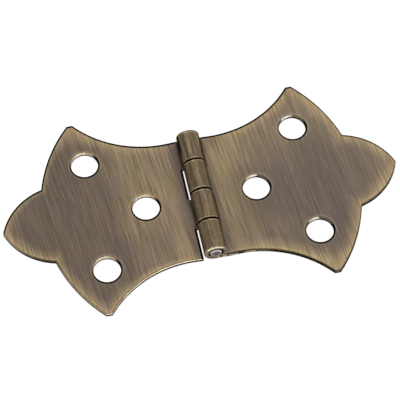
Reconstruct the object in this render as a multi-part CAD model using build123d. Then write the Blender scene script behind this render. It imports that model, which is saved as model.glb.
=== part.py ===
from build123d import *
import math
import os

# Decorative butterfly hinge: two alike stamped leaves, each rolled into knuckles
# along one edge, turning on one pin. It lies open flat on its back.
# Frame: the origin is on the back plane, below the middle of the pin. X runs to the
# right leaf's tip, Y along the pin to its far end, Z up out of the show side.
# All sizes are in millimetres.

# Sheet that both leaves are stamped from
sheet_thickness = 1.0
show_rim_round = 0.25     # rims that stamping rounds on the show side
largest_rim_share = 0.45  # of the sheet's thickness, as far as a rim can be rounded
knuckle_rim_round = 0.1   # outer rims of the rolled knuckles

# Pin
pin_diameter = 2.25
pin_clearance = 0.075     # radial, between the pin and a knuckle's bore
pin_stand_out = 0.15      # how far each end of the pin stands out of the barrel
pin_end_chamfer = 0.2
pin_grip_length = 3.0     # upset band that holds the pin fast in the far end knuckle

# Barrel
barrel_length = 26.0
knuckle_count = 4
knuckle_gap = 0.25        # along the pin, between neighbouring knuckles
cutback_clearance = 0.1   # from a knuckle to the other leaf's edge beside it
seam_gap = 0.1            # from the rolled sheet's free end down to its own leaf

# Outline of one leaf, measured from the pin
leaf_reach = 38.1         # to the tip of the end lobe
leaf_width = 41.3         # across the two ears
root_run = 0.7            # straight stretch of the outline beside the barrel
ear_x = 21.1              # start of the flat that cuts an ear off
ear_flat = 1.15
notch_x = 29.45
notch_y = 7.85
side_hollow = 2.45        # depth of the hollow curve from the barrel to an ear
shoulder_bulge = 0.93     # height of the full curve from an ear to its notch
lobe_bulge = 1.48         # height of the full curve from a notch to the tip
notch_round = 0.2
tip_round = 0.3

# Screw holes
hole_diameter = 5.2
inner_hole_x = 10.7
outer_hole_x = 20.4
outer_hole_y = 11.5

# Worked out from the sizes above
rim_round = min(show_rim_round, largest_rim_share * sheet_thickness)
bore_radius = pin_diameter / 2 + pin_clearance
knuckle_radius = bore_radius + sheet_thickness
pin_height = knuckle_radius
cutback_x = knuckle_radius + cutback_clearance
knuckle_pitch = (barrel_length + knuckle_gap) / knuckle_count
knuckle_length = knuckle_pitch - knuckle_gap


def half_outline(side):
    """Edges of a leaf's outline from the barrel to the tip; side is 1 for far, -1 for near."""
    root = Vector(cutback_x, side * barrel_length / 2)
    curve_start = root + Vector(root_run, 0)
    ear_start = Vector(ear_x, side * leaf_width / 2)
    ear_end = ear_start + Vector(ear_flat, 0)
    notch = Vector(notch_x, side * notch_y)
    tip = Vector(leaf_reach, 0)
    return [
        Line(root, curve_start),
        SagittaArc(curve_start, ear_start, -side * side_hollow),
        Line(ear_start, ear_end),
        SagittaArc(ear_end, notch, side * shoulder_bulge),
        SagittaArc(notch, tip, side * lobe_bulge),
    ]


def leaf_outline():
    """Flat shape of a leaf, from the edge cut back beside the barrel to the lobe's tip."""
    root_edge = Line((cutback_x, -barrel_length / 2), (cutback_x, barrel_length / 2))
    outline = make_face(Curve() + half_outline(1) + half_outline(-1) + [root_edge])
    outline = fillet(outline.vertices().sort_by(Axis.X)[-3:-1], notch_round)
    return fillet(outline.vertices().sort_by(Axis.X)[-1], tip_round)


def plate():
    """The flat part of a leaf, with its rim rounded on the show side."""
    blank = extrude(leaf_outline(), sheet_thickness)
    show_face = blank.faces().sort_by(Axis.Z)[-1]
    return fillet(show_face.edges(), rim_round)


def knuckle_section():
    """Section across the pin: the sheet runs in below the pin, then rolls up and over it."""
    start_x = cutback_x + rim_round
    free_end_z = sheet_thickness + seam_gap
    free_end_angle = math.degrees(math.asin((free_end_z - pin_height) / knuckle_radius))
    roll_angle = 270 - free_end_angle
    outside = CenterArc((0, pin_height), knuckle_radius, -90, -roll_angle)
    inside = CenterArc((0, pin_height), bore_radius, -90, -roll_angle)
    return make_face(
        Curve()
        + [
            Line((start_x, 0), outside @ 0),
            outside,
            Line(outside @ 1, inside @ 1),
            inside,
            Line(inside @ 0, (start_x, sheet_thickness)),
            Line((start_x, sheet_thickness), (start_x, 0)),
        ]
    )


def round_arcs(body, arc_radius, round_radius):
    """Rounds the rims of a body that are arcs of one radius, and what runs on smoothly."""
    rims = [
        edge
        for edge in body.edges().filter_by(GeomType.CIRCLE)
        if math.isclose(edge.radius, arc_radius, rel_tol=1e-6)
    ]
    return fillet(rims, round_radius)


def knuckle():
    """One knuckle with the strip that joins it to its leaf; its far end is at y = 0."""
    strip = extrude(Plane.XZ * knuckle_section(), knuckle_length)
    strip = round_arcs(strip, bore_radius, rim_round)
    return round_arcs(strip, knuckle_radius, knuckle_rim_round)


def knuckle_far_end(row):
    """Y of a knuckle's far end; row 0 is at the far end of the barrel."""
    return barrel_length / 2 - row * knuckle_pitch


def leaf(rows):
    """A leaf that lies to the right of the pin, one stamped sheet rolled up at these rows."""
    body = plate()
    for row in rows:
        body += Pos(0, knuckle_far_end(row), 0) * knuckle()
    hole = Cylinder(hole_diameter / 2, 3 * sheet_thickness)
    hole_places = [
        (inner_hole_x, 0),
        (outer_hole_x, outer_hole_y),
        (outer_hole_x, -outer_hole_y),
    ]
    for x, y in hole_places:
        body -= Pos(x, y, 0) * hole
    hole_rims = [
        edge
        for edge in body.edges().filter_by(GeomType.CIRCLE)
        if math.isclose(edge.radius, hole_diameter / 2) and edge.center().Z > sheet_thickness / 2
    ]
    return fillet(hole_rims, rim_round)


def hinge_pin():
    """The pin, with the band that grips the far end knuckle."""
    length = barrel_length + 2 * pin_stand_out
    shaft = Cylinder(pin_diameter / 2, length)
    shaft = chamfer(shaft.edges().filter_by(GeomType.CIRCLE), pin_end_chamfer)
    band_y = knuckle_far_end(0) - knuckle_length / 2
    band = Pos(0, 0, band_y) * Cylinder(bore_radius, pin_grip_length)
    return Pos(0, 0, pin_height) * Rot(-90, 0, 0) * (shaft + band)


# The leaves take turns along the barrel, and the left one has the far end knuckle.
# It is made as a right leaf with its rows counted the other way, then turned half round.
right_rows = range(1, knuckle_count, 2)
left_rows = [knuckle_count - 1 - row for row in range(0, knuckle_count, 2)]
right_leaf = leaf(right_rows)
left_leaf = Rot(0, 0, 180) * leaf(left_rows)

os.makedirs("parts", exist_ok=True)
export_step(left_leaf, "parts/left_leaf.step")
export_step(right_leaf, "parts/right_leaf.step")
export_step(hinge_pin(), "parts/hinge_pin.step")
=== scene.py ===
import math
import bpy
from mathutils import Matrix, Quaternion, Vector


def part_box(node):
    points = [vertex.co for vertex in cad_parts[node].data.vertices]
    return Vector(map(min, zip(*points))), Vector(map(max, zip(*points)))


# Looks of a butterfly hinge in brushed antique brass. Each leaf is one stamped sheet, so its finish
# is worked out from its drawing: how far a point lies from the outline, from a screw hole, from the
# pin's axis and from the back. Lengths are in millimetres, and in metres where Blender takes them.

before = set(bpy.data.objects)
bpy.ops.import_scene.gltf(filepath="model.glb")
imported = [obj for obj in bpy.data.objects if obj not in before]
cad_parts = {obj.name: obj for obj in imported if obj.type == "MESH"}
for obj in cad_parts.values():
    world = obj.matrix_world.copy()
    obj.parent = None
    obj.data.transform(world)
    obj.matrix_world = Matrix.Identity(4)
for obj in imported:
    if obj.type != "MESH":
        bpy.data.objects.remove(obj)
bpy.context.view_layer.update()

METRE = 0.001              # one millimetre in metres
PER_METRE = 1000.0

# Drawing of one leaf, measured from the middle of the pin
SHEET = 1.0
BARREL_HALF = 13.0
ROOT = (3.0, BARREL_HALF)
EAR_START = (21.1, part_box("right_leaf")[1].y * PER_METRE)
EAR_END = (22.25, EAR_START[1])
NOTCH = (29.45, 7.85)
TIP = (38.1, 0.0)
SIDE_HOLLOW = 2.45
SHOULDER_BULGE = 0.93
LOBE_BULGE = 1.48
HOLE_RADIUS = 2.6
INNER_HOLE = (10.7, 0.0)
OUTER_HOLE = (20.4, 11.5)

# Barrel and pin
PIN_HEIGHT = 2.2
BARREL_RADIUS = 2.2
BORE_RADIUS = 1.2
PIN_RADIUS = 1.125
KNUCKLE_PITCH = 6.5625
HALF_GAP = 0.125

# Brushing: how far its lines are turned from the pin, and the way that the walls face which it met,
# which also carry a painted highlight
BRUSH_TURN = math.radians(-5.5)
BURNISHED_LIT_SIDE = (0.25, -0.97, 0.0)

# How deep the brush's lines and the tears of the pin's sheared ends look, in metres
BRUSH_DEPTH = 0.02 * METRE
SHEAR_DEPTH = 0.08 * METRE

# Kinds of lines that a brush or a drawing die leaves: width, length and contrast
FINE_LINES = (0.13, 7.0, 2.8)
LONG_LINES = (0.3, 26.0, 1.8)
BROAD_STREAKS = (2.2, 60.0, 2.4)
NICKS = (0.12, 7.0, 1.0)
ROLL_LINES = (0.26, 6.0, 2.7)
WIRE_LINES = (0.15, 8.0, 2.0)

# Scattered spots: how far apart their cells lie, their size, and the share of cells that have one
PITS = (2.6, 0.11, 0.16)
GLINTS = (0.5, 0.16, 0.45)

# Soot line along every rim, partly patina in the cut edges and partly painted shade, seen from
# above: how wide it is at the sides, how soft its edge is, and how far it is shifted towards the
# near end of the pin, so that it is wider on far edges, as painted shade
SOOT_AND_SHADE_WIDTH = 0.28
SOOT_AND_SHADE_EDGE = 0.05
SOOT_AND_SHADE_SHIFT = 0.2

# Where the left leaf's finish passes into the right one's, across the pin
BETWEEN_LEAVES = (-4.0, 4.0)

# Glow of wear along the outline: how far it reaches in, how steeply it falls, and the window on the
# left leaf's near hollow where it is narrower
GLOW_REACH = 3.2
GLOW_POWER = 1.8
NARROW_X = (-3.5, -6.0, -14.0, -19.0)
NARROW_Y = (-6.0, -9.5)

# Patches that are more worn than what lies round them, or less: the wear added, then a window along
# X and one along Y. An empty window is open everywhere.
WEAR_PATCHES = (
    (0.15, (7.0, 11.0, 14.0, 24.0), (0.0, 8.0, 12.0, 15.0)),    # far half of the right leaf
    (0.30, (26.0, 38.0), ()),                                   # right lobe
    (0.22, (-31.0, -38.0), ()),                                 # left lobe
    (-0.07, (-18.0, -26.0), ()),                                # left leaf past its outer holes
    (0.14, (-8.0, -5.5, -3.2, -2.6), (-6.0, -10.0)),            # near corner beside the barrel
    (-0.13, (-5.5, -8.0, -15.0, -20.0), (-4.0, -8.0)),          # left leaf's near side
    (0.10, (3.0, 6.0, 15.0, 20.0), (-6.0, -9.0)),               # right leaf's near side
    (-0.14, (4.5, 7.0, 9.5, 13.0), (-5.5, -1.5, 2.0, 6.0)),     # before the right inner hole
)
WEAR_TAKEN_OFF = 0.03      # everywhere

# Camera, worked out from the outline, the holes and the barrel in the photograph
CAMERA_ELEVATION = 60.67
CAMERA_AZIMUTH = -12.41
CAMERA_ROLL = 0.39
CAMERA_DISTANCE = 413.4
CAMERA_TARGET = (-0.276, -0.087, 0.0)
CAMERA_LENS = 195.8
SENSOR = 36.0
NEAREST_SEEN = 10.0

# Studio. Lamps: name, place and size in metres, and how bright their faces look.
FLOOR_HALF = 1.5           # metres
FLOOR_DROP = 0.02
FLOOR_GREY = (0.3, 0.3, 0.3, 1.0)
FLOOR_GLOW = 0.86
ROOM = (0.55, 0.55, 0.56, 1.0)
WHITE = (1.0, 1.0, 1.0, 1.0)
LAMPS = (
    ("overhead", (0.0, 0.18, 0.5), 0.6, 0.85),
    ("near_left", (-0.45, -0.55, 0.4), 0.4, 1.1),
)


def paint(red, green, blue):
    """A colour given as it looks on screen, 0 to 255, as the linear RGBA that a shader takes."""
    def linear(value):
        share = value / 255.0
        return share / 12.92 if share <= 0.04045 else ((share + 0.055) / 1.055) ** 2.4
    return (linear(red), linear(green), linear(blue), 1.0)


# Leaves. A pair of colours is for two tarnishes, rosy and olive.
PATINA_DARK = (paint(82, 72, 66), paint(84, 73, 62))
PATINA_LIGHT = (paint(115, 101, 92), paint(118, 104, 89))
COOL_DARK = paint(79, 71, 67)
COOL_LIGHT = paint(109, 98, 94)
WORN_DARK = paint(109, 91, 64)
WORN_LIGHT = (paint(194, 170, 135), paint(189, 170, 130))
# Painted shade beside the barrel, on top of the patina that the brush doesn't reach
STRIP_PATINA_AND_SHADE = paint(78, 68, 70)
RIM_GLINT = paint(196, 174, 136)
# Painted shade in the barrel's corner
CORNER_SHADE = paint(32, 24, 18)
SCRATCH = paint(206, 190, 160)
PIT = paint(40, 34, 28)
# Soot in the cut edges, and painted shade on rims, walls, slots and gaps
SOOT_AND_SHADE = paint(17, 11, 6)
RIM_SHADE = paint(60, 46, 32)
# Painted highlight paling the bare walls of holes
BARE_RIM_HIGHLIGHT = paint(205, 184, 148)
# Burnished bare metal with a painted highlight on it
CREAM_DARK = paint(222, 202, 164)
CREAM_LIGHT = paint(255, 244, 218)
# White painted highlight in the right leaf's holes
CREAM_RIGHT_HIGHLIGHT = paint(255, 250, 240)

# Barrel
ROLL_DARK = paint(74, 61, 43)
ROLL_LIGHT = paint(148, 130, 100)
ROLL_STAIN = paint(92, 72, 50)
# Painted sheen on the barrel's top
ROLL_TOP_SHEEN = paint(126, 113, 102)
ROLL_GOLD = paint(160, 143, 102)
ROLL_STREAK = paint(64, 54, 40)
# Painted highlight beside the gaps
GAP_RIM_HIGHLIGHT = paint(205, 184, 142)
# Painted highlight on the barrel's end rims
LIP_HIGHLIGHT = paint(232, 214, 176)
RING_DARK = paint(82, 66, 46)
RING_LIGHT = paint(150, 130, 96)
RING_RIGHT_DARK = paint(48, 38, 30)
RING_RIGHT_LIGHT = paint(120, 106, 88)
RING_FOOT = paint(64, 56, 42)
RING_GLINT = paint(250, 238, 210)

# Pin
STEEL_DARK = paint(96, 89, 84)
STEEL_LIGHT = paint(146, 138, 131)
STEEL_TORN = paint(62, 54, 54)
# Burr with a painted highlight at the pin end's edge
STEEL_BURR_HIGHLIGHT = paint(214, 204, 194)
STEEL_GLINT = paint(235, 226, 214)
# Painted shade on the pin's end
STEEL_HOLLOW_SHADE = paint(72, 64, 60)


class Nodes:
    """Adds nodes to one node tree. Each method returns the new node's output."""

    def __init__(self, tree):
        self.tree = tree

    def add(self, kind, inputs=(), output=0, **settings):
        """A node of a kind; inputs pairs a socket's name or number with a value or an output."""
        node = self.tree.nodes.new(kind)
        for name, value in settings.items():
            setattr(node, name, value)
        for socket, value in dict(inputs).items():
            self.feed(node.inputs[socket], value)
        return node.outputs[output]

    def feed(self, socket, value):
        """Links an output to a socket, or sets the socket's own value."""
        if isinstance(value, bpy.types.NodeSocket):
            self.tree.links.new(value, socket)
        else:
            socket.default_value = value

    def math(self, operation, first, second=0.0, third=0.0):
        values = {0: first, 1: second, 2: third}
        return self.add("ShaderNodeMath", values, operation=operation)

    def in_turn(self, operation, values):
        """Several values taken into one, each with the result so far."""
        result = values[0]
        for value in values[1:]:
            result = self.math(operation, result, value)
        return result

    def times(self, *values):
        return self.in_turn("MULTIPLY", values)

    def plus(self, *values):
        return self.in_turn("ADD", values)

    def least(self, *values):
        return self.in_turn("MINIMUM", values)

    def greatest(self, *values):
        return self.in_turn("MAXIMUM", values)

    def minus(self, first, second):
        return self.math("SUBTRACT", first, second)

    def opposite(self, share):
        """1 less a share."""
        return self.minus(1.0, share)

    def more(self, value, share, amount):
        """A value and a share of an amount on top of it."""
        return self.math("MULTIPLY_ADD", share, amount, value)

    def unsigned(self, value):
        """A value without its sign."""
        return self.math("ABSOLUTE", value)

    def vector(self, operation, first, second=(0.0, 0.0, 0.0), output=0):
        return self.add("ShaderNodeVectorMath", {0: first, 1: second}, output, operation=operation)

    def axes(self, vector):
        """X, Y and Z of a vector, each as an output."""
        node = self.add("ShaderNodeSeparateXYZ", {0: vector}).node
        return node.outputs[0], node.outputs[1], node.outputs[2]

    def combine(self, x=0.0, y=0.0, z=0.0):
        return self.add("ShaderNodeCombineXYZ", {0: x, 1: y, 2: z})

    def rise(self, value, low, high):
        """0 at low and 1 at high, with a smooth step between; high may lie below low."""
        ends = {"Value": value, "From Min": low, "From Max": high}
        return self.add("ShaderNodeMapRange", ends, interpolation_type="SMOOTHSTEP")

    def window(self, value, start, full, last_full=None, end=None):
        """0 up to start, 1 from full to last_full and 0 past end, with smooth steps between. Given
        two places only, it stays at 1."""
        opened = self.rise(value, start, full)
        if end is None:
            return opened
        return self.times(opened, self.rise(value, end, last_full))

    def fall(self, value, reach):
        """1 at 0, falling evenly to 0 at reach."""
        ends = {"Value": value, "From Min": 0.0, "From Max": reach, "To Min": 1.0, "To Max": 0.0}
        return self.add("ShaderNodeMapRange", ends)

    def scale(self, share, low, high):
        """A share of 0 to 1 spread evenly between two values."""
        ends = {"Value": share, "To Min": low, "To Max": high}
        return self.add("ShaderNodeMapRange", ends)

    def by_leaf(self, x, left, right):
        """One value on the left leaf and another on the right."""
        return self.scale(self.rise(x, *BETWEEN_LEAVES), left, right)

    def noise(self, vector, size, detail=2.0, roughness=0.5):
        """Cloudy noise of 0 to 1 whose largest blobs are about one over size across."""
        values = {"Vector": vector, "Scale": size, "Detail": detail, "Roughness": roughness}
        return self.add("ShaderNodeTexNoise", values)

    def mix(self, share, first, second):
        """First colour where the share is 0, second where it is 1."""
        node = self.tree.nodes.new("ShaderNodeMix")
        node.data_type = "RGBA"
        for number, value in ((0, share), (6, first), (7, second)):
            self.feed(node.inputs[number], value)
        return node.outputs[2]

    def mix_values(self, share, first, second):
        """First value where the share is 0, second where it is 1."""
        return self.add("ShaderNodeMix", {"Factor": share, "A": first, "B": second})

    def group(self, group, inputs):
        """One placed node group; its outputs are read by name."""
        node = self.tree.nodes.new("ShaderNodeGroup")
        node.node_tree = group
        for socket, value in inputs.items():
            self.feed(node.inputs[socket], value)
        return node.outputs

    def lines(self, brushed, place, turn, kind):
        """Lines of one kind, turned about Z."""
        width, length, contrast = kind
        values = {"Place": place, "Turn": turn, "Width": width, "Length": length,
                  "Contrast": contrast}
        return self.group(brushed, values)["Lines"]

    def spots(self, specks, place, kind):
        """Scattered spots of one kind."""
        spacing, size, share = kind
        values = {"Place": place, "Spacing": spacing, "Size": size, "Share": share}
        return self.group(specks, values)["Specks"]


def new_group(name, inputs, outputs):
    """An empty node group with named sockets; returns it with its inner input and output nodes."""
    group = bpy.data.node_groups.new(name, "ShaderNodeTree")
    for socket, kind, value in inputs:
        item = group.interface.new_socket(socket, in_out="INPUT", socket_type="NodeSocket" + kind)
        if value is not None:
            item.default_value = value
    for socket, kind in outputs:
        group.interface.new_socket(socket, in_out="OUTPUT", socket_type="NodeSocket" + kind)
    return group, group.nodes.new("NodeGroupInput"), group.nodes.new("NodeGroupOutput")


def arc_circle(start, end, bulge):
    """Centre and radius of the arc from start to end whose middle stands off its chord by bulge,
    to the right of the way from start to end if bulge is positive."""
    start, end = Vector(start), Vector(end)
    chord = end - start
    right = Vector((chord.y, -chord.x)).normalized()
    radius = (chord.length_squared / 4 + bulge * bulge) / (2 * abs(bulge))
    centre = (start + end) / 2 + right * (bulge - math.copysign(radius, bulge))
    return centre, radius


def leaf_drawing_group():
    """Distances in the leaf's plan, in millimetres and positive in the metal.

    Both leaves and both halves of a leaf are alike, so the plan is folded into its first quarter.
    The body is bounded by the hollow side, the ear's flat and the shoulder, and its distance is the
    least of theirs. The lobe is joined to it, so the distance from the outline is the greater of
    the body's and the lobe's.
    """
    group, given, result = new_group(
        "leaf_drawing",
        [("Place", "Vector", None)],
        [("From outline", "Float"), ("From hole", "Float"), ("From pin", "Float")],
    )
    n = Nodes(group)
    x, y, z = n.axes(n.vector("ABSOLUTE", given.outputs["Place"]))
    plan = n.combine(x, y)

    def from_circle(circle):
        """How far outside a circle a point of the plan is."""
        (centre_x, centre_y), radius = circle
        away = n.vector("DISTANCE", plan, (centre_x, centre_y, 0.0), output=1)
        return n.minus(away, radius)

    hollow = from_circle(arc_circle(ROOT, EAR_START, SIDE_HOLLOW))
    shoulder = n.times(from_circle(arc_circle(EAR_END, NOTCH, -SHOULDER_BULGE)), -1.0)
    lobe = n.times(from_circle(arc_circle(NOTCH, TIP, -LOBE_BULGE)), -1.0)
    flat = n.minus(EAR_START[1], y)
    body = n.least(hollow, flat, shoulder)
    holes = n.least(from_circle((INNER_HOLE, HOLE_RADIUS)), from_circle((OUTER_HOLE, HOLE_RADIUS)))
    pin_side = n.combine(x, 0.0, z)
    from_pin = n.vector("DISTANCE", pin_side, (0.0, 0.0, PIN_HEIGHT), output=1)
    n.feed(result.inputs["From outline"], n.greatest(body, lobe))
    n.feed(result.inputs["From hole"], holes)
    n.feed(result.inputs["From pin"], from_pin)
    return group


def brushed_group():
    """Lines that a brush or a drawing die leaves: noise stretched along one direction.

    The place is turned about Z by Turn, then divided by the lines' width across the brush and by
    their length along it. Lines is 0 to 1 with its middle at a half.
    """
    group, given, result = new_group(
        "brushed_lines",
        [("Place", "Vector", None), ("Turn", "Float", 0.0), ("Width", "Float", 0.3),
         ("Length", "Float", 15.0), ("Contrast", "Float", 1.5)],
        [("Lines", "Float")],
    )
    n = Nodes(group)
    socket = given.outputs
    turned = n.add(
        "ShaderNodeVectorRotate",
        {"Vector": socket["Place"], "Angle": socket["Turn"]},
        rotation_type="Z_AXIS",
    )
    cell = n.combine(socket["Width"], socket["Length"], socket["Width"])
    lines = n.noise(n.vector("DIVIDE", turned, cell), 1.0, detail=3.0, roughness=0.6)
    spread = n.more(0.5, n.minus(lines, 0.5), socket["Contrast"])
    n.feed(result.inputs["Lines"], n.greatest(n.least(spread, 1.0), 0.0))
    return group


def specks_group():
    """Small scattered spots: the middles of random cells, in a share of all cells."""
    group, given, result = new_group(
        "specks",
        [("Place", "Vector", None), ("Spacing", "Float", 1.0), ("Size", "Float", 0.1),
         ("Share", "Float", 0.3)],
        [("Specks", "Float")],
    )
    n = Nodes(group)
    socket = given.outputs
    place = n.vector("DIVIDE", socket["Place"], n.combine(*[socket["Spacing"]] * 3))
    cells = n.add("ShaderNodeTexVoronoi", {"Vector": place, "Scale": 1.0}).node
    reach = n.math("DIVIDE", socket["Size"], socket["Spacing"])
    spot = n.rise(cells.outputs["Distance"], reach, 0.0)
    chance = n.axes(cells.outputs["Color"])[0]
    kept = n.math("LESS_THAN", chance, socket["Share"])
    n.feed(result.inputs["Specks"], n.times(spot, kept))
    return group


def finished_material(name):
    """A new material with only its shader and output. Returns it with its nodes, its shader, the
    place in millimetres and the way that the surface faces."""
    material = bpy.data.materials.new(name)
    material.use_nodes = True
    tree = material.node_tree
    tree.nodes.clear()
    n = Nodes(tree)
    shader = tree.nodes.new("ShaderNodeBsdfPrincipled")
    output = tree.nodes.new("ShaderNodeOutputMaterial")
    tree.links.new(shader.outputs[0], output.inputs["Surface"])
    coordinates = tree.nodes.new("ShaderNodeTexCoord").outputs
    place = n.vector("SCALE", coordinates["Object"])
    place.node.inputs["Scale"].default_value = PER_METRE
    return material, n, shader, place, coordinates["Normal"]


def leaf_brass(drawing, brushed, specks):
    """Antique brass: a dark patina, brushed along the pin and worn lighter towards the edges."""
    material, n, shader, place, normal = finished_material("leaf_brass")
    plan = n.group(drawing, {"Place": place})
    fine = n.lines(brushed, place, BRUSH_TURN, FINE_LINES)
    long = n.lines(brushed, place, BRUSH_TURN, LONG_LINES)
    grain = n.more(n.times(long, 0.28), fine, 0.72)

    face = show_face(n, place, plan, grain, brushed)
    roll, on_roll, roll_shade = barrel(n, place, plan, normal, brushed)
    edge, on_edge, edge_soot_and_shade = cut_edges(n, place, plan, face, drawing, normal)
    face = n.mix(on_edge, face, edge)
    face = n.mix(on_roll, face, roll)
    soot_and_shade = n.mix_values(on_roll, edge_soot_and_shade, roll_shade)

    # Scratches show more to the right
    nicks = n.lines(brushed, place, 1.9 * BRUSH_TURN, NICKS)
    seen = n.scale(n.rise(n.axes(place)[0], -10.0, 15.0), 0.25, 0.5)
    face = n.mix(n.times(n.rise(nicks, 0.64, 0.76), seen), face, SCRATCH)
    face = n.mix(n.times(n.spots(specks, place, PITS), 0.6), face, PIT)
    # Soot, and painted shade in gaps, slots and along rims
    face = n.mix(soot_and_shade, face, SOOT_AND_SHADE)

    n.feed(shader.inputs["Base Color"], face)
    n.feed(shader.inputs["Metallic"], n.opposite(soot_and_shade))
    n.feed(shader.inputs["Roughness"], n.more(n.scale(grain, 0.5, 0.38), soot_and_shade, 0.4))
    shader.inputs["Specular IOR Level"].default_value = 0.0
    bump = n.add("ShaderNodeBump", {"Height": grain, "Strength": 0.2, "Distance": BRUSH_DEPTH})
    n.feed(shader.inputs["Normal"], bump)
    return material


def show_face(n, place, plan, grain, brushed):
    """Colour of the flat show face: patina with wear on it, the strip beside the barrel, darker from
    patina where the brush doesn't reach and from painted shade, a thin light line inside each rim,
    and painted shade in the barrel's corner."""
    x, y = n.axes(place)[:2]
    beside = n.unsigned(x)
    uneven = n.scale(n.noise(place, 0.2), 0.45, 1.55)
    tarnish = n.rise(n.noise(place, 0.16, 1.0), 0.35, 0.65)

    # The right leaf's patina is cooler and calmer than the left one's
    calm = n.times(n.rise(x, 4.0, 14.0), 0.6)
    calm_grain = n.more(grain, n.minus(0.5, grain), calm)
    warm = n.mix(calm_grain, n.mix(tarnish, *PATINA_DARK), n.mix(tarnish, *PATINA_LIGHT))
    cool = n.mix(calm_grain, COOL_DARK, COOL_LIGHT)
    patina = n.mix(n.rise(x, 6.0, 18.0), warm, cool)
    bright = n.mix(grain, WORN_DARK, n.mix(tarnish, *WORN_LIGHT))
    face = n.mix(wear(n, place, plan, brushed, uneven), patina, bright)

    # Painted shade beside the barrel, together with the darker patina that the brush doesn't reach
    left_strip_patina_and_shade = n.scale(n.rise(y, -4.5, 6.0), 0.05, 0.36)
    strip_patina_and_shade = n.times(n.rise(beside, 5.0, 2.4), n.by_leaf(x, left_strip_patina_and_shade, 0.1))
    face = n.mix(strip_patina_and_shade, face, STRIP_PATINA_AND_SHADE)

    from_rim = n.least(plan["From outline"], plan["From hole"])
    lighter = n.times(n.window(from_rim, 0.26, 0.38, 0.46, 0.62), uneven, 0.14)
    face = n.mix(lighter, face, RIM_GLINT)

    # Painted shade in the corner where the barrel meets the leaf, lighter on the right
    corner_shade = n.times(n.rise(beside, 2.7, 2.1), n.scale(n.noise(place, 1.2, 3.0), 0.35, 0.85))
    corner_shade = n.times(corner_shade, n.scale(n.rise(x, -1.0, 1.0), 1.0, 0.4))
    return n.mix(corner_shade, face, CORNER_SHADE)


def wear(n, place, plan, brushed, uneven):
    """How worn the flat show face is, 0 to 1: a glow along the outline, at the ears and round the
    holes, a band beside the barrel that is partly painted light against its shade, broad streaks and
    a few patches."""
    x, y = n.axes(place)[:2]
    beside = n.unsigned(x)

    # The glow narrows on the left leaf's outer part and at its near hollow
    outer_left = n.times(n.rise(x, -20.0, -26.0), n.scale(n.rise(y, *BETWEEN_LEAVES), 0.15, 0.42))
    near_hollow = n.times(n.window(x, *NARROW_X), n.window(y, *NARROW_Y))
    narrow = n.more(outer_left, near_hollow, 0.55)
    reach = n.times(uneven, GLOW_REACH, n.opposite(narrow))
    glow = n.math("POWER", n.fall(plan["From outline"], reach), GLOW_POWER)
    glow = n.times(glow, n.scale(n.rise(beside, 4.0, 12.0), 0.3, 0.95))
    hole_edge = n.times(n.rise(plan["From hole"], 1.1, 0.0), 0.15)
    streaks = n.times(n.lines(brushed, place, BRUSH_TURN, BROAD_STREAKS), 0.12)
    worn = n.plus(n.greatest(glow, hole_edge), streaks)

    far_ears = n.times(n.rise(y, 13.5, 20.5), n.by_leaf(x, 0.38, 0.2))
    near_ears = n.times(n.rise(y, -13.5, -20.5), n.by_leaf(x, 0.04, 0.48))
    worn = n.plus(worn, far_ears, near_ears)

    # The band beside the barrel is wear, and partly painted light against the barrel's shade. It is
    # uneven, and on the right leaf strongest at mid length
    clean_from = n.by_leaf(x, 3.0, 2.0)
    band_end = n.by_leaf(x, 19.0, 12.0)
    band_wear_and_light = n.times(
        n.rise(beside, clean_from, n.plus(clean_from, 2.2)),
        n.rise(beside, band_end, n.minus(band_end, 7.0)),
        n.scale(n.noise(place, 0.13), 0.7, 1.3),
    )
    on_right = n.scale(n.rise(y, -9.0, 6.0), 0.15, 0.5)
    on_right = n.times(on_right, n.scale(n.rise(y, 9.0, 12.5), 1.0, 0.25))
    worn = n.more(worn, band_wear_and_light, n.scale(n.rise(x, -8.0, 8.0), 0.4, on_right))

    worn = n.more(worn, n.rise(x, 1.0, 7.0), n.scale(n.rise(y, 3.0, 16.0), 0.09, 0.36))
    for amount, along_x, along_y in WEAR_PATCHES:
        windows = [n.window(axis, *ends) for axis, ends in ((x, along_x), (y, along_y)) if ends]
        worn = n.more(worn, n.times(*windows), amount)
    return n.greatest(n.least(n.minus(worn, WEAR_TAKEN_OFF), 1.0), 0.0)


def knuckle_row(n, y):
    """Which knuckle a point is beside, counted from the barrel's near end: 0 to 1 is the first. The
    gaps' middles are at whole numbers."""
    return n.math("DIVIDE", n.plus(y, BARREL_HALF + HALF_GAP), KNUCKLE_PITCH)


def barrel(n, place, plan, normal, brushed):
    """The rolled knuckles and both ends of the barrel. Returns the colour, where the roll is and
    its painted shade."""
    x, y, z = n.axes(place)
    from_pin = plan["From pin"]
    crosswise = n.rise(n.unsigned(n.axes(normal)[1]), 0.6, 0.85)
    above = n.greatest(n.rise(z, SHEET, SHEET + 0.1), n.opposite(crosswise))
    # On the ends of the barrel, X counts towards the leaf that the knuckle there belongs to
    leafward = n.times(x, y, -1.0 / BARREL_HALF)
    above = n.greatest(above, n.rise(leafward, 0.4, 0.1))
    on_roll = n.times(n.rise(from_pin, BARREL_RADIUS + 0.1, BARREL_RADIUS + 0.02), above)
    from_gap = n.times(n.math("PINGPONG", knuckle_row(n, y), 0.5), KNUCKLE_PITCH)

    roll = n.mix(crosswise, roll_side(n, place, from_gap, brushed), roll_end(n, place, from_pin))
    # Painted highlight along the rim at the barrel's near end and the top of its far end
    near_lip_highlight = n.times(n.rise(y, 0.16 - BARREL_HALF, 0.06 - BARREL_HALF), 0.6)
    far_lip_highlight = n.times(n.rise(y, BARREL_HALF - 0.6, BARREL_HALF - 0.4), n.rise(z, 3.6, 4.2), 0.3)
    lip_highlight = n.times(n.greatest(near_lip_highlight, far_lip_highlight), n.opposite(crosswise))
    roll = n.mix(lip_highlight, roll, LIP_HIGHLIGHT)
    return roll, on_roll, roll_shade(n, place, from_pin, from_gap, crosswise)


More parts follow.
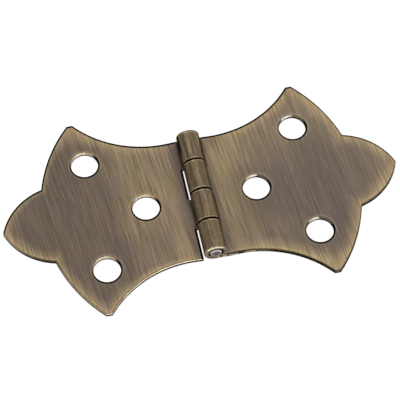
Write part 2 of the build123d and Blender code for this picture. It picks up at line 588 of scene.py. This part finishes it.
def roll_side(n, place, from_gap, brushed):
    """Colour of the knuckles' round sides: olive brass with streaks along the pin and stains, greyer
    on top as a painted sheen, and a painted highlight on the rim beside each dark gap."""
    x, y, z = n.axes(place)
    streaks = n.lines(brushed, place, 0.0, ROLL_LINES)
    stains = n.rise(n.noise(place, 0.9, 3.0), 0.42, 0.62)
    roll = n.mix(streaks, ROLL_DARK, ROLL_LIGHT)
    roll = n.mix(n.times(stains, 0.4), roll, ROLL_STAIN)
    # Painted sheen: greyer and lighter on top
    roll = n.mix(n.times(n.rise(z, 3.2, 4.3), 0.2), roll, ROLL_TOP_SHEEN)
    # Its right side is lighter and golden, most at the near end, and so is the near end's left side
    right_gold = n.times(n.rise(x, -0.2, 1.4), n.scale(n.rise(y, 2.0, -11.0), 0.2, 0.5))
    left_gold = n.times(n.rise(x, -1.2, -1.9), n.rise(y, -4.0, -10.0), 0.25)
    roll = n.mix(n.greatest(right_gold, left_gold), roll, ROLL_GOLD)
    # A dark streak runs along its left side, slightly aslant
    off_streak = n.unsigned(n.more(n.plus(x, 0.86), y, 0.026))
    roll = n.mix(n.times(n.rise(off_streak, 0.3, 0.05), 0.45), roll, ROLL_STREAK)
    patchy = n.rise(n.noise(place, 1.6, 2.0), 0.35, 0.6)
    # Painted highlight along the rim beside each gap
    rim = n.times(n.rise(from_gap, HALF_GAP + 0.42, HALF_GAP + 0.22), patchy, 0.7)
    return n.mix(rim, roll, GAP_RIM_HIGHLIGHT)


def roll_end(n, place, from_pin):
    """Colour of the ring at each end of the barrel: gritty brass, darker at the right and towards
    the foot, with a glint along its upper rim."""
    x, y, z = n.axes(place)
    grit = n.noise(place, 2.2, 3.0)
    ring = n.mix(n.rise(grit, 0.35, 0.65), RING_DARK, RING_LIGHT)
    right_side = n.mix(n.rise(grit, 0.4, 0.6), RING_RIGHT_DARK, RING_RIGHT_LIGHT)
    ring = n.mix(n.rise(x, 0.3, 1.6), ring, right_side)
    ring = n.mix(n.times(n.rise(z, 1.5, 0.4), 0.6), ring, RING_FOOT)
    outer = n.rise(from_pin, BARREL_RADIUS - 0.36, BARREL_RADIUS - 0.22)
    high = n.rise(n.more(z, grit, 1.2), 3.7, 4.4)
    return n.mix(n.times(outer, high, n.rise(x, 1.6, 1.1)), ring, RING_GLINT)


def roll_shade(n, place, from_pin, from_gap, crosswise):
    """Where the barrel is painted black as shade: in the gaps, round the pin, on the far end's rim,
    and along the sides, most on the far knuckle."""
    x, y, z = n.axes(place)
    far_rim = n.rise(y, BARREL_HALF - 0.32, BARREL_HALF - 0.16)
    far_rim = n.times(far_rim, n.scale(n.rise(z, 2.8, 4.2), 0.95, 0.75))
    far_left = n.times(n.rise(x, -1.72, -1.98), n.rise(y, 8.0, 9.5))
    far_right = n.times(n.rise(x, 1.72, 1.98), n.rise(y, 6.5, 9.0), 0.75)
    left = n.times(n.rise(x, -1.9, -2.12), 0.65)
    side = n.times(n.greatest(far_left, far_right, left), 0.9)
    # The bore's mouth is painted black as shade but at its foot, and widest at the top
    mouth = n.more(BORE_RADIUS + 0.18, n.rise(z, 2.4, 3.2), 0.14)
    inside = n.rise(from_pin, n.plus(mouth, 0.14), mouth)
    inside = n.times(inside, n.scale(n.rise(z, 1.2, 1.55), 0.25, 1.0))
    at_end = n.rise(n.unsigned(y), BARREL_HALF - 0.3, BARREL_HALF - 0.2)
    in_gap = n.greatest(n.rise(from_gap, HALF_GAP + 0.16, HALF_GAP + 0.05), crosswise)
    return n.greatest(inside, n.times(in_gap, n.opposite(at_end)), far_rim, side)


def cut_edges(n, place, plan, face, drawing, normal):
    """The stamped rims and walls. A line of soot and painted shade runs along every rim. The brush
    burnished the upper part of the near walls, where it met them, with a painted highlight on it,
    and below that the torn sheet is black, partly its own colour and partly painted shade.

    Returns the colour, where it lies and its soot and painted shade.
    """
    x, y, z = n.axes(place)
    slope = n.unsigned(n.axes(normal)[2])
    level = n.vector("NORMALIZE", n.vector("MULTIPLY", normal, (1.0, 1.0, 0.0)))
    faces_burnished_lit_side = n.vector("DOT_PRODUCT", level, BURNISHED_LIT_SIDE, output=1)
    at_hole = n.rise(n.minus(plan["From outline"], plan["From hole"]), -0.1, 0.1)
    in_outline = n.opposite(at_hole)
    right_leaf = n.rise(x, -2.0, 2.0)
    right_hole = n.times(at_hole, right_leaf)

    # Where the brush met a hole's rim, it is bare, and burnished with a painted highlight along a
    # long stretch in the left leaf, but in a short spot in the right leaf
    bare_from = n.scale(right_leaf, 0.1, -0.1)
    bare = n.times(at_hole, n.rise(faces_burnished_lit_side, bare_from, n.scale(right_leaf, 0.6, 0.3)))
    spot = n.rise(faces_burnished_lit_side, n.scale(right_leaf, -1.2, 0.86), n.scale(right_leaf, -1.1, 0.97))
    # The near rims of the left leaf's outline are bare too. Round its lobe, the black climbs from
    # the tip towards the notch.
    near_rim = n.times(n.rise(faces_burnished_lit_side, -0.15, 0.15), n.rise(x, 0.5, -0.5))
    on_lobe = n.times(n.rise(x, -37.8, -31.0), n.math("LESS_THAN", x, 0.05 - NOTCH[0]))
    near_rim = n.times(near_rim, n.scale(on_lobe, 1.0, 0.55))
    bare = n.greatest(bare, n.times(near_rim, in_outline))
    bare_rim = n.times(n.rise(slope, 0.97, 0.85), bare)
    rim = n.times(rim_soot_and_shade_line(n, place, drawing, in_outline), n.opposite(bare_rim))
    # Beside the barrel, the left leaf's edge is painted black as shade where the right leaf's
    # knuckles turn, the first and the third from the near end
    beside_right = n.math("LESS_THAN", n.math("FLOORED_MODULO", knuckle_row(n, y), 2.0), 1.0)
    at_slot = n.times(n.window(x, -2.8, -2.68, -1.9, -1.5), beside_right)
    rim_soot_and_shade = n.times(n.greatest(rim, at_slot), n.rise(z, 0.6, 0.7))

    # Below a bare rim, the tear starts lower
    wall = n.times(n.rise(slope, 0.6, 0.4), n.rise(z, 0.74, 0.64))
    in_holes = n.scale(right_leaf, 0.39, n.scale(spot, 0.54, 0.4))
    tear = n.mix_values(at_hole, n.more(0.54, on_lobe, 0.3), in_holes)
    above_tear = n.minus(z, tear)
    torn = n.noise(n.vector("MULTIPLY", place, (5.0, 5.0, 1.0)), 0.6)
    # Black below the tear: the torn sheet's own colour, darkened further as painted shade
    black = n.greatest(n.rise(above_tear, 0.05, -0.05), n.opposite(bare))
    black = n.times(wall, black, n.scale(torn, 0.8, 1.1))
    burnish_and_highlight = burnished_highlights(n, place, slope, faces_burnished_lit_side, at_hole, right_hole)
    burnish_and_highlight = n.times(burnish_and_highlight, n.rise(n.more(above_tear, torn, 0.12), 0.06, 0.16))
    burnish_and_highlight = n.greatest(burnish_and_highlight, n.times(low_highlight_dashes(n, place, faces_burnished_lit_side), wall, 0.8))
    wall_soot_and_shade = n.times(black, n.opposite(burnish_and_highlight))

    in_hole = n.times(bare_rim, n.rise(above_tear, -0.05, 0.05))
    under_rim = n.times(n.rise(slope, 0.95, 0.8), n.rise(z, 0.70, 0.78), 0.35)
    shade = n.mix(under_rim, face, RIM_SHADE)
    # Painted highlight: bare hole walls are paled
    pale_highlight_share = n.scale(at_hole, 0.15, n.times(spot, 0.75))
    shade = n.mix(n.times(in_hole, pale_highlight_share), shade, BARE_RIM_HIGHLIGHT)
    # Burnished wall with a painted highlight, white in the right leaf's holes
    cream_highlight = n.mix(n.rise(torn, 0.35, 0.65), CREAM_DARK, CREAM_LIGHT)
    cream_highlight = n.mix(right_hole, cream_highlight, CREAM_RIGHT_HIGHLIGHT)
    burnished_and_highlit = n.mix(n.times(n.greatest(wall, in_hole), burnish_and_highlight), shade, cream_highlight)
    return burnished_and_highlit, n.rise(slope, 0.97, 0.9), n.greatest(rim_soot_and_shade, wall_soot_and_shade)


def rim_soot_and_shade_line(n, place, drawing, in_outline):
    """The line of soot and painted shade along the rims. It is thinner and browner on the right
    leaf's outline, except on its far side, and thinnest round its lobe."""
    x, y = n.axes(place)[:2]
    ahead = n.group(drawing, {"Place": n.vector("ADD", place, (0.0, SOOT_AND_SHADE_SHIFT, 0.0))})
    from_rim = n.least(ahead["From outline"], ahead["From hole"])
    on_body = n.times(n.rise(x, 2.0, 6.0), n.scale(n.rise(y, -3.0, 3.0), 0.5, 0.1))
    on_right = n.times(n.more(on_body, n.rise(x, 21.0, 27.0), 0.5), in_outline)
    thinner = n.more(from_rim, on_right, 0.07)
    line = n.rise(thinner, SOOT_AND_SHADE_WIDTH + SOOT_AND_SHADE_EDGE, SOOT_AND_SHADE_WIDTH - SOOT_AND_SHADE_EDGE)
    return n.times(line, n.scale(on_right, 1.0, 0.62))


def on_right_root(n, x):
    """1 on the right leaf near the barrel, where the wall is burnished, with a painted highlight, in
    dashes only.
    """
    return n.window(x, -1.0, 0.0, 7.0, 12.0)


def off_barrel(n, x, y):
    """0 on the knuckles' end faces and their strips at the barrel's ends, 1 elsewhere."""
    at_end = n.rise(n.unsigned(y), BARREL_HALF - 0.02, BARREL_HALF - 0.1)
    return n.opposite(n.times(n.rise(n.unsigned(x), 4.0, 3.7), at_end))


def burnished_highlights(n, place, slope, faces_burnished_lit_side, at_hole, right_hole):
    """Where the brush burnished a wall that it met, with a painted highlight on it: in the holes, on
    the outline up to the ears and round the left lobe. It is patchy, and in dashes on the right leaf
    near the barrel."""
    x, y, z = n.axes(place)
    start = n.scale(right_hole, 1.06, 1.14)
    burnish_and_highlight = n.rise(n.more(faces_burnished_lit_side, n.noise(place, 1.3, 3.0), 0.5), start, n.plus(start, 0.12))
    reached = n.greatest(n.rise(n.unsigned(x), 23.4, 22.4), n.rise(x, -30.0, -31.5))
    burnish_and_highlight = n.times(burnish_and_highlight, n.greatest(at_hole, n.times(reached, n.rise(slope, 0.7, 0.5))))
    dashes = n.rise(n.noise(n.combine(x, 0.0, z), 1.1, 2.0), 0.4, 0.58)
    dashes = n.scale(on_right_root(n, x), 1.0, n.scale(dashes, 0.15, 0.9))
    return n.times(burnish_and_highlight, dashes, off_barrel(n, x, y))


def low_highlight_dashes(n, place, faces_burnished_lit_side):
    """More dashes of burnish and painted highlight along the middle height of the right leaf's wall
    beside the barrel.
    """
    x, y, z = n.axes(place)
    dashes = n.rise(n.noise(n.combine(x, 4.0, n.times(z, 0.6)), 1.4, 2.0), 0.38, 0.52)
    mid_wall = n.window(z, 0.1, 0.22, 0.5, 0.62)
    burnish_and_highlight = n.times(on_right_root(n, x), n.rise(faces_burnished_lit_side, 0.8, 0.9))
    return n.times(dashes, mid_wall, burnish_and_highlight, off_barrel(n, x, y))


def pin_steel(brushed, specks):
    """Bare steel wire, drawn along its length, with rough sheared ends."""
    material, n, shader, place, _ = finished_material("pin_steel")
    x, y, z = n.axes(place)
    drawn = n.lines(brushed, place, 0.0, WIRE_LINES)
    torn = n.noise(place, 2.4, detail=4.0, roughness=0.7)

    def from_axis(right):
        """How far a point is from a line along the pin, this far right of its middle."""
        across = n.combine(n.minus(x, right), 0.0, n.minus(z, PIN_HEIGHT))
        return n.vector("LENGTH", across, output=1)

    face = n.mix(drawn, STEEL_DARK, STEEL_LIGHT)
    face = n.mix(n.times(n.rise(torn, 0.42, 0.56), 0.85), face, STEEL_TORN)
    # A lighter ring at the end's edge: the burr, with a painted highlight on it
    burr_highlight = n.rise(from_axis(0.0), PIN_RADIUS - 0.4, PIN_RADIUS - 0.2)
    face = n.mix(n.times(burr_highlight, n.rise(torn, 0.62, 0.45)), face, STEEL_BURR_HIGHLIGHT)
    face = n.mix(n.spots(specks, place, GLINTS), face, STEEL_GLINT)
    # Painted shade, as of a shallow hollow, lies right of the end's middle
    hollow = n.rise(from_axis(0.3), 0.8, 0.3)
    face = n.mix(n.times(hollow, 0.75), face, STEEL_HOLLOW_SHADE)

    n.feed(shader.inputs["Base Color"], face)
    shader.inputs["Metallic"].default_value = 1.0
    n.feed(shader.inputs["Roughness"], n.scale(torn, 0.3, 0.6))
    bump = n.add("ShaderNodeBump", {"Height": torn, "Strength": 0.6, "Distance": SHEAR_DEPTH})
    n.feed(shader.inputs["Normal"], bump)
    return material


def dress(node, material):
    """Gives a CAD node's object one material."""
    node.data.materials.clear()
    node.data.materials.append(material)


def white_floor():
    """A plain pale floor: lit as a surface, and raised to white for what looks at it or mirrors it,
    so that it keeps a faint shadow of the hinge."""
    mesh = bpy.data.meshes.new("floor")
    half = FLOOR_HALF
    corners = [(-half, -half, 0), (half, -half, 0), (half, half, 0), (-half, half, 0)]
    mesh.from_pydata(corners, [], [(0, 1, 2, 3)])
    floor = bpy.data.objects.new("floor", mesh)
    floor.location.z = -FLOOR_DROP * METRE
    bpy.context.scene.collection.objects.link(floor)
    material = bpy.data.materials.new("floor_white")
    material.use_nodes = True
    tree = material.node_tree
    tree.nodes.clear()
    n = Nodes(tree)
    rays = tree.nodes.new("ShaderNodeLightPath").outputs
    seen = n.greatest(rays["Is Camera Ray"], rays["Is Glossy Ray"], rays["Is Transmission Ray"])
    lit = n.add("ShaderNodeBsdfDiffuse", {"Color": FLOOR_GREY})
    glow = n.add("ShaderNodeEmission", {"Strength": n.times(seen, FLOOR_GLOW)})
    both = n.add("ShaderNodeAddShader", {0: lit, 1: glow})
    output = tree.nodes.new("ShaderNodeOutputMaterial")
    tree.links.new(both, output.inputs["Surface"])
    mesh.materials.append(material)


def soft_light(name, place, size, radiance):
    """A square soft lamp that faces the hinge; radiance is how bright its face looks."""
    light = bpy.data.lights.new(name, "AREA")
    light.shape = "SQUARE"
    light.size = size
    light.energy = radiance * math.pi * size * size
    lamp = bpy.data.objects.new(name, light)
    lamp.location = place
    lamp.rotation_euler = Vector(place).to_track_quat("Z", "Y").to_euler()
    lamp.visible_camera = False
    bpy.context.scene.collection.objects.link(lamp)


def studio():
    """Plain soft light: a pale room with a broad lamp overhead and one at the near left. What looks
    past the floor, or mirrors the room low down, sees white."""
    world = bpy.data.worlds.new("room")
    world.use_nodes = True
    tree = world.node_tree
    tree.nodes.clear()
    n = Nodes(tree)
    rays = tree.nodes.new("ShaderNodeLightPath").outputs
    room = n.add("ShaderNodeBackground", {"Color": ROOM, "Strength": 1.0})
    white = n.add("ShaderNodeBackground", {"Color": WHITE, "Strength": 1.0})
    height = n.axes(tree.nodes.new("ShaderNodeTexCoord").outputs["Generated"])[2]
    mirrored = n.greatest(rays["Is Glossy Ray"], rays["Is Transmission Ray"])
    seen = n.greatest(rays["Is Camera Ray"], n.times(mirrored, n.rise(height, 0.5, 0.1)))
    both = n.add("ShaderNodeMixShader", {0: seen, 1: room, 2: white})
    output = tree.nodes.new("ShaderNodeOutputWorld")
    tree.links.new(both, output.inputs["Surface"])
    bpy.context.scene.world = world
    for lamp in LAMPS:
        soft_light(*lamp)


def camera():
    """The photograph's view: the camera stands at an azimuth and an elevation round its target."""
    elevation = math.radians(CAMERA_ELEVATION)
    azimuth = math.radians(CAMERA_AZIMUTH)
    flat = math.cos(elevation)
    back = Vector((math.sin(azimuth) * flat, -math.cos(azimuth) * flat, math.sin(elevation)))
    right = Vector((math.cos(azimuth), math.sin(azimuth), 0.0))
    right.rotate(Quaternion(back, math.radians(CAMERA_ROLL)))
    up = back.cross(right)
    data = bpy.data.cameras.new("camera")
    data.lens = CAMERA_LENS
    data.sensor_width = SENSOR
    data.clip_start = NEAREST_SEEN * METRE
    eye = bpy.data.objects.new("camera", data)
    turn = Matrix((right, up, back)).transposed().to_4x4()
    place = (Vector(CAMERA_TARGET) + back * CAMERA_DISTANCE) * METRE
    eye.matrix_world = Matrix.Translation(place) @ turn
    bpy.context.scene.collection.objects.link(eye)
    bpy.context.scene.camera = eye


camera()
studio()
white_floor()
drawing = leaf_drawing_group()
brushed = brushed_group()
specks = specks_group()
brass = leaf_brass(drawing, brushed, specks)
dress(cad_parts["left_leaf"], brass)
dress(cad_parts["right_leaf"], brass)
dress(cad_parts["hinge_pin"], pin_steel(brushed, specks))
bpy.context.scene.view_settings.view_transform = "Standard"
